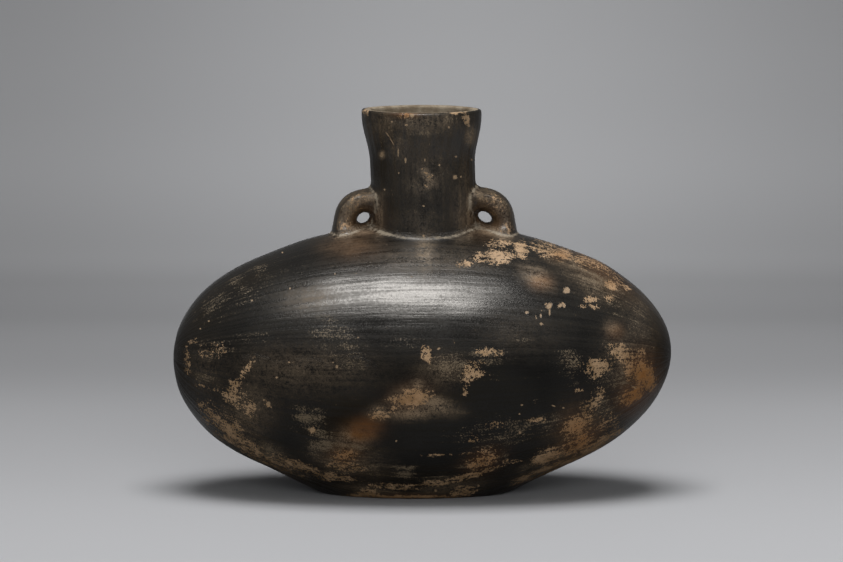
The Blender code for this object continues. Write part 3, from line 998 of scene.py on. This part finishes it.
def crevices(points):
    """Where dust gathers: the fillets at the neck's root and round the lugs."""
    x, y, z = points.T
    body = body_field(x, y, z)
    neck = neck_field(x, y, z)
    depth = crevice(body, neck)
    for lug in LUGS:
        strap = lug_field(lug, x, y, z)
        for other in (body, neck):
            depth = np.maximum(depth, crevice(other, strap))
    return depth


def strokes(points):
    """Coordinates in which the burnishing strokes are one unit long and one wide: along the body, up the
    neck."""
    x, y, z = points.T
    up = z - WIDEST_HEIGHT
    around = np.maximum(np.hypot(y, up), 1e-6)
    turns = BODY_STROKE_RADIUS / STROKE_WIDTH
    body = np.stack([x / STROKE_LENGTH, y / around * turns, up / around * turns], axis=1)
    out = x - neck_centre(z)
    off_axis = np.maximum(np.hypot(out, y), 1e-6)
    turns = NECK_RADIUS / STROKE_WIDTH
    neck = np.stack([out / off_axis * turns, y / off_axis * turns, z / NECK_STROKE_LENGTH], axis=1)
    share = smooth((z - body_top(x, y) - 1.5) / 2.0)[:, None]
    return body + (neck - body) * share


def write_layer(mesh, name, values):
    """Adds a point attribute, of numbers or of vectors."""
    kind, key = ("FLOAT_VECTOR", "vector") if values.ndim > 1 else ("FLOAT", "value")
    layer = mesh.attributes.new(name, kind, "POINT")
    layer.data.foreach_set(key, values.astype(np.float32).ravel())


def paint(mesh, outside_count):
    """Writes the wear, dust, painted light and stroke layers that the material reads, and returns the
    number of chip layers."""
    count = len(mesh.vertices)
    points = np.zeros(count * 3)
    mesh.vertices.foreach_get("co", points)
    points = points.reshape(-1, 3) / MM
    normals = np.zeros(count * 3)
    mesh.vertex_normals.foreach_get("vector", normals)
    normals = normals.reshape(-1, 3)
    px, py, to_camera = photo_place(points)
    facing = smooth((normals * to_camera).sum(1) / FACING_EASE)
    behind = smooth(normals[:, 1] / FACING_EASE)
    x, y, z = points.T
    from_axis = np.hypot(x - neck_centre(z), y)
    inside = smooth((neck_radius(z) - 1.0 - from_axis) / 1.6) * (z > BORE_SEAM - 1)
    inside[outside_count:] = 1
    outside = 1 - inside
    dulled = smooth((from_axis < DULL_RADIUS) * (z - DULL_FROM) / DULL_RISE)
    back = painted_back(BACK_FLAKES, points, behind)
    layers = {
        "worn": np.maximum(painted(FLAKES, px, py, facing, plateau), back),
        "haze_and_painted_light": np.maximum(painted(HAZES_AND_PAINTED_LIGHT, px, py, facing, cloud), BACK_HAZE * back),
        "ember_and_painted_light": painted(EMBERS_AND_PAINTED_LIGHT, px, py, facing, cloud),
        "speck": np.maximum(painted(SPECKS, px, py, facing, cloud), back),
        "brown": np.maximum(painted(BROWNS, px, py, facing, cloud), BACK_BROWN * behind),
        "crevice": crevices(points),
        "polish": smooth((z - POLISH_FROM) / POLISH_RISE) * (1 - NECK_DULLING * dulled),
    }
    for name, values in layers.items():
        write_layer(mesh, name, values * outside)
    write_layer(mesh, "inside", inside)
    write_layer(mesh, "stroke", strokes(points))
    chips = chip_layers(px, py, facing)
    for number, vectors in enumerate(chips):
        write_layer(mesh, f"chips_{number}", vectors)
    return len(chips)


class Shader:
    """Makes and links the nodes of one material. A value is a number, a colour or another node's output."""

    def __init__(self, name):
        self.material = bpy.data.materials.new(name)
        self.material.use_nodes = True
        self.tree = self.material.node_tree
        self.tree.nodes.clear()

    def node(self, kind, values=None, output=0, **settings):
        made = self.tree.nodes.new(kind)
        for name, setting in settings.items():
            setattr(made, name, setting)
        for key, value in (values or {}).items():
            if isinstance(value, bpy.types.NodeSocket):
                self.tree.links.new(value, made.inputs[key])
            else:
                made.inputs[key].default_value = value
        return made.outputs[output]

    def maths(self, operation, a, b=0.0, clamped=False):
        return self.node("ShaderNodeMath", {0: a, 1: b}, operation=operation, use_clamp=clamped)

    def times(self, a, b):
        return self.maths("MULTIPLY", a, b)

    def total(self, *values):
        result = values[0]
        for value in values[1:]:
            result = self.maths("ADD", result, value)
        return result

    def swing(self, noise, height):
        """A noise as a swing either way, of about the given height."""
        return self.node("ShaderNodeMath", {0: noise, 1: height, 2: -height / 2}, operation="MULTIPLY_ADD")

    def band(self, value, low, high, start=0.0, end=1.0):
        """Goes smoothly from start to end as value goes from low to high."""
        values = {"Value": value, "From Min": low, "From Max": high, "To Min": start, "To Max": end}
        return self.node("ShaderNodeMapRange", values, interpolation_type="SMOOTHSTEP")

    def noise(self, place, scale, detail=2.0, rough=0.5):
        values = {"Vector": place, "Scale": scale, "Detail": detail, "Roughness": rough}
        return self.node("ShaderNodeTexNoise", values)

    def mix(self, share, a, b):
        return self.node("ShaderNodeMix", {0: share, 6: a, 7: b}, output=2, data_type="RGBA")

    def layer(self, name, output=2):
        return self.node("ShaderNodeAttribute", output=output, attribute_name=name)

    def surface(self, **values):
        named = {name.replace("_", " "): value for name, value in values.items()}
        shaded = self.node("ShaderNodeBsdfPrincipled", named)
        end = self.tree.nodes.new("ShaderNodeOutputMaterial")
        self.tree.links.new(shaded, end.inputs["Surface"])


def chip_level(shader, layers):
    """How far a point is from the nearest single chip or scratch: below 1 inside it."""
    nearest = CHIP_FAR
    for number in range(layers):
        offset = shader.layer(f"chips_{number}", output=1)
        level = shader.node("ShaderNodeVectorMath", {0: offset}, output="Value", operation="LENGTH")
        nearest = shader.maths("MINIMUM", level, nearest)
    return nearest


def burnished_clay(chip_count):
    """Black burnished clay with brown and orange fire stains, worn, scuffed and dusty, with painted
    highlights on the shoulder and painted light round the lug holes.
    """
    s = Shader("burnished_clay")
    place = s.node("ShaderNodeTexCoord", output="Object")
    stroke = s.layer("stroke", output=1)
    worn, haze_and_painted_light, ember_and_painted_light = s.layer("worn"), s.layer("haze_and_painted_light"), s.layer("ember_and_painted_light")
    speck, brown, polish = s.layer("speck"), s.layer("brown"), s.layer("polish")
    dusty, inside = s.layer("crevice"), s.layer("inside")

    broad = s.noise(place, 1000 / 30, 2.0)
    patchy = s.noise(place, 1000 / 7, 4.0, 0.6)
    crumbly = s.noise(place, 1000 / 1.6, 3.0, 0.6)
    gritty = s.noise(place, 1000 / 0.6, 1.0)
    fine = s.noise(place, 1000 / 1.0, 3.0, 0.7)
    streak = s.noise(stroke, 0.9, 2.0)
    wide_streak = s.noise(stroke, 0.3, 1.0)

    ragged = s.total(s.swing(patchy, 2.4), s.swing(crumbly, 3.6), s.swing(gritty, 2.4), s.swing(streak, 1.6))
    ragged = s.times(ragged, s.maths("ADD", 0.4, s.times(worn, 1.2), clamped=True))
    flaked = s.band(s.maths("ADD", worn, ragged), 0.5, 0.72)
    scuffed = s.total(s.swing(fine, 2.6), s.swing(gritty, 2.2), s.swing(patchy, 1.8), s.swing(streak, 2.2))
    scuffed = s.times(scuffed, s.maths("ADD", 0.5, speck, clamped=True))
    specked = s.times(s.band(s.maths("ADD", s.times(speck, 0.8), scuffed), 0.55, 1.2), 0.9)
    cloudy = s.total(0.8, s.swing(patchy, 1.8), s.swing(streak, 1.6), s.swing(crumbly, 2.4))
    cloudy = s.total(cloudy, s.swing(gritty, 2.4))
    hazed_and_painted_light = s.maths("MULTIPLY", haze_and_painted_light, cloudy, clamped=True)
    filmed = s.band(s.total(crumbly, s.swing(streak, 1.1), s.swing(broad, 0.8)), 0.42, 0.72)
    dust_level = s.total(dusty, s.swing(patchy, 1.2), s.swing(streak, 1.2), s.swing(crumbly, 1.0))
    dusted = s.band(dust_level, 0.4, 1.1, 0.0, 0.9)
    chip = s.total(chip_level(s, chip_count), s.swing(crumbly, 1.6), s.swing(gritty, 0.8))
    chipped = s.band(chip, 0.6, 1.2, 0.85, 0.0)
    brownish = s.total(0.8, s.swing(broad, 1.6), s.swing(streak, 1.2))
    browned = s.maths("MULTIPLY", brown, brownish, clamped=True)
    glow = s.total(0.85, s.swing(patchy, 1.4), s.swing(streak, 0.8))
    glowing_and_painted_light = s.maths("MULTIPLY", ember_and_painted_light, glow, clamped=True)
    bored = s.band(s.total(inside, s.swing(crumbly, 0.5)), 0.35, 0.6)

    colour = s.mix(s.band(broad, 0.35, 0.65), BLACK_CLAY, GREY_BLACK_CLAY)
    colour = s.mix(s.times(filmed, 0.6), colour, FILM)
    colour = s.mix(browned, colour, BROWN_CLAY)
    colour = s.mix(s.times(glowing_and_painted_light, 0.75), colour, FIRED_CLAY_AND_PAINTED_LIGHT)
    colour = s.mix(s.times(hazed_and_painted_light, 0.85), colour, s.mix(glowing_and_painted_light, HAZE_AND_PAINTED_LIGHT, ORANGE_HAZE_AND_PAINTED_LIGHT))
    colour = s.mix(specked, colour, SPECK)
    tan = s.mix(s.band(patchy, 0.35, 0.65), TAN_CLAY, PALE_CLAY)
    colour = s.mix(flaked, colour, s.mix(glowing_and_painted_light, tan, ORANGE_CLAY))
    colour = s.mix(dusted, colour, DUST)
    colour = s.mix(bored, colour, s.mix(s.band(patchy, 0.35, 0.65), BORE_CLAY, BORE_DUST))
    colour = s.mix(chipped, colour, CHIP)

    matt = s.maths("MAXIMUM", s.maths("MAXIMUM", flaked, dusted), s.maths("MAXIMUM", bored, chipped))
    matt = s.maths("MAXIMUM", matt, s.times(hazed_and_painted_light, 0.8))
    sheen = s.total(BURNISH_ROUGHNESS, s.swing(streak, 0.34), s.swing(broad, 0.2), s.swing(fine, 0.4))
    sheen = s.total(sheen, s.times(specked, 0.3), s.times(browned, 0.1))
    sheen = s.total(sheen, s.band(polish, 0.0, 1.0, LOW_ROUGHNESS, 0.0))
    gloss = s.times(s.band(polish, 0.0, 1.0, LOW_GLOSS, GLOSS), s.band(filmed, 0.0, 1.0, 1.0, 0.6))
    gloss = s.times(gloss, s.band(browned, 0.0, 1.0, 1.0, 0.45))
    roughness = s.maths("ADD", sheen, s.times(matt, 0.5), clamped=True)

    height = s.total(s.times(streak, STROKE_RIDGE), s.times(wide_streak, STROKE_WAVE))
    height = s.total(height, s.times(flaked, -FLAKE_DEPTH), s.times(chipped, -FLAKE_DEPTH))
    grain = s.times(s.maths("MAXIMUM", matt, 0.3), GRAIN_HEIGHT)
    height = s.total(height, s.maths("MULTIPLY", gritty, grain), s.maths("MULTIPLY", crumbly, grain))
    normal = s.node("ShaderNodeBump", {"Strength": 1.0, "Distance": MM, "Height": height})
    shine = {"Specular_IOR_Level": gloss, "Specular_Tint": GLOSS_TINT}
    s.surface(Base_Color=colour, Roughness=roughness, Normal=normal, **shine)
    return s.material


def make_jar():
    """The whole jar as one mesh, with its wear and some painted light painted on."""
    vertices, quads, seam, angle = mesh_outside()
    outside_count = len(vertices)
    normals = settle(outside_field, vertices, 0)[1]
    seam_height = vertices[seam[0], 2]
    dented = dent(vertices, normals)
    dented[seam] = vertices[seam]
    points = fit_inside(dented)
    inner = mesh_inside(seam_height, angle)
    inner += points[seam].mean(0) - vertices[seam].mean(0)
    rings = BORE_RINGS + HOLLOW_RINGS - 1
    faces = quads.tolist() + inside_faces(seam, outside_count, rings)
    mesh = bpy.data.meshes.new("jar_surface")
    mesh.from_pydata((np.concatenate([points, inner]) * MM).tolist(), [], faces)
    mesh.shade_smooth()
    chip_count = paint(mesh, outside_count)
    mesh.materials.append(burnished_clay(chip_count))
    piece = bpy.data.objects.new("jar_clay", mesh)
    bpy.context.scene.collection.objects.link(piece)
    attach(piece, "root")
    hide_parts("jar")


def make_sweep():
    """A seamless sheet: a floor that bends up behind the jar."""
    profile = [(-SWEEP_FRONT, 0.0), (SWEEP_BACK, 0.0)]
    for step in range(1, SWEEP_STEPS + 1):
        turn = math.radians(SWEEP_TURN) * step / SWEEP_STEPS
        profile.append((SWEEP_BACK + SWEEP_BEND * math.sin(turn), SWEEP_BEND * (1 - math.cos(turn))))
    columns = np.linspace(-SWEEP_HALF_WIDTH, SWEEP_HALF_WIDTH, 9)
    vertices = [(x, y, z) for y, z in profile for x in columns]
    width = len(columns)
    faces = []
    for row in range(len(profile) - 1):
        for column in range(width - 1):
            corner = row * width + column
            faces.append((corner, corner + 1, corner + width + 1, corner + width))
    mesh = bpy.data.meshes.new("sweep_surface")
    mesh.from_pydata(vertices, [], faces)
    mesh.shade_smooth()
    mesh.materials.append(sweep_paper_painted_light())
    sweep = bpy.data.objects.new("sweep", mesh)
    bpy.context.scene.collection.objects.link(sweep)


def sweep_paper_painted_light():
    """Grey paper with painted light and shade: darkest on the floor behind the jar and brightest in the
    sheet's bend, darker at its sides and brighter on its floor at the right.
    """
    s = Shader("sweep_paper_painted_light")
    place = s.node("ShaderNodeTexCoord", output="Object")
    split = s.tree.nodes.new("ShaderNodeSeparateXYZ")
    s.tree.links.new(place, split.inputs[0])
    along = s.maths("ADD", split.outputs["Y"], split.outputs["Z"])
    # Painted light and shade along the sheet: its grey tone by how far along it lies
    painted_light_tone = SWEEP_PAINTED_LIGHT_TONES[0][1]
    for (start, low), (end, high) in zip(SWEEP_PAINTED_LIGHT_TONES, SWEEP_PAINTED_LIGHT_TONES[1:]):
        painted_light_tone = s.maths("ADD", painted_light_tone, s.band(along, start, end, 0.0, high - low))
    # Painted shade: darker away from the sheet's middle, most up its bend
    aside = s.maths("ABSOLUTE", s.maths("ADD", split.outputs["X"], -SWEEP_SHADE_MIDDLE))
    shade = s.times(s.band(aside, 0.0, SWEEP_SHADE_REACH), s.band(along, 0.2, 1.3, 0.0, SWEEP_SHADE))
    # Painted light: the floor is brighter at the right, most near the jar
    near = s.band(along, 0.2, 0.9, SWEEP_PAINTED_RIGHT_LIGHT, 0.2 * SWEEP_PAINTED_RIGHT_LIGHT)
    painted_right_light = s.times(s.band(split.outputs["X"], 0.0, 0.4), near)
    painted_light_tone = s.times(painted_light_tone, s.total(1.0, painted_right_light, s.times(shade, -1.0)))
    grey = s.node("ShaderNodeCombineXYZ", {0: painted_light_tone, 1: painted_light_tone, 2: painted_light_tone})
    colour = s.node("ShaderNodeVectorMath", {0: grey, 1: SWEEP_COOL[:3]}, operation="MULTIPLY")
    s.surface(Base_Color=colour, Roughness=0.9, Specular_IOR_Level=0.1)
    return s.material


def make_light(name, azimuth, elevation, distance, width, height, power):
    """A soft box. Azimuth 0 is the front and 90 the right, in degrees; power is in watts."""
    light = bpy.data.lights.new(name, "AREA")
    light.shape = "RECTANGLE"
    light.size = width
    light.size_y = height
    light.energy = power
    lamp = bpy.data.objects.new(name, light)
    bpy.context.scene.collection.objects.link(lamp)
    azimuth, elevation = math.radians(azimuth), math.radians(elevation)
    flat = math.cos(elevation)
    away = Vector((flat * math.sin(azimuth), -flat * math.cos(azimuth), math.sin(elevation)))
    lamp.location = LIGHT_AIM + away * distance
    lamp.rotation_euler = away.to_track_quat("Z", "Y").to_euler()
    return lamp


def make_lights():
    """The key makes the shine on the shoulder, and the fills light the rest."""
    key = make_light("key", KEY_AZIMUTH, KEY_ELEVATION, KEY_DISTANCE, KEY_WIDTH, KEY_HEIGHT, KEY_POWER)
    key.visible_diffuse = False
    for name, azimuth, elevation, distance, size, power in FILLS:
        fill = make_light(name, azimuth, elevation, distance, size, size, power)
        fill.visible_glossy = False


def make_world():
    world = bpy.data.worlds.new("studio")
    world.use_nodes = True
    background = world.node_tree.nodes["Background"]
    background.inputs["Color"].default_value = rgb(1, 1, 1)
    background.inputs["Strength"].default_value = ROOM_LIGHT
    bpy.context.scene.world = world


def make_camera():
    data = bpy.data.cameras.new("camera")
    data.lens = CAMERA_LENS
    data.sensor_width = CAMERA_SENSOR
    camera = bpy.data.objects.new("camera", data)
    bpy.context.scene.collection.objects.link(camera)
    camera.location = CAMERA_PLACE
    camera.rotation_euler = (math.pi / 2 - CAMERA_DIP, 0, 0)
    bpy.context.scene.camera = camera


make_jar()
make_sweep()
make_lights()
make_world()
make_camera()
bpy.context.scene.view_settings.view_transform = "Standard"
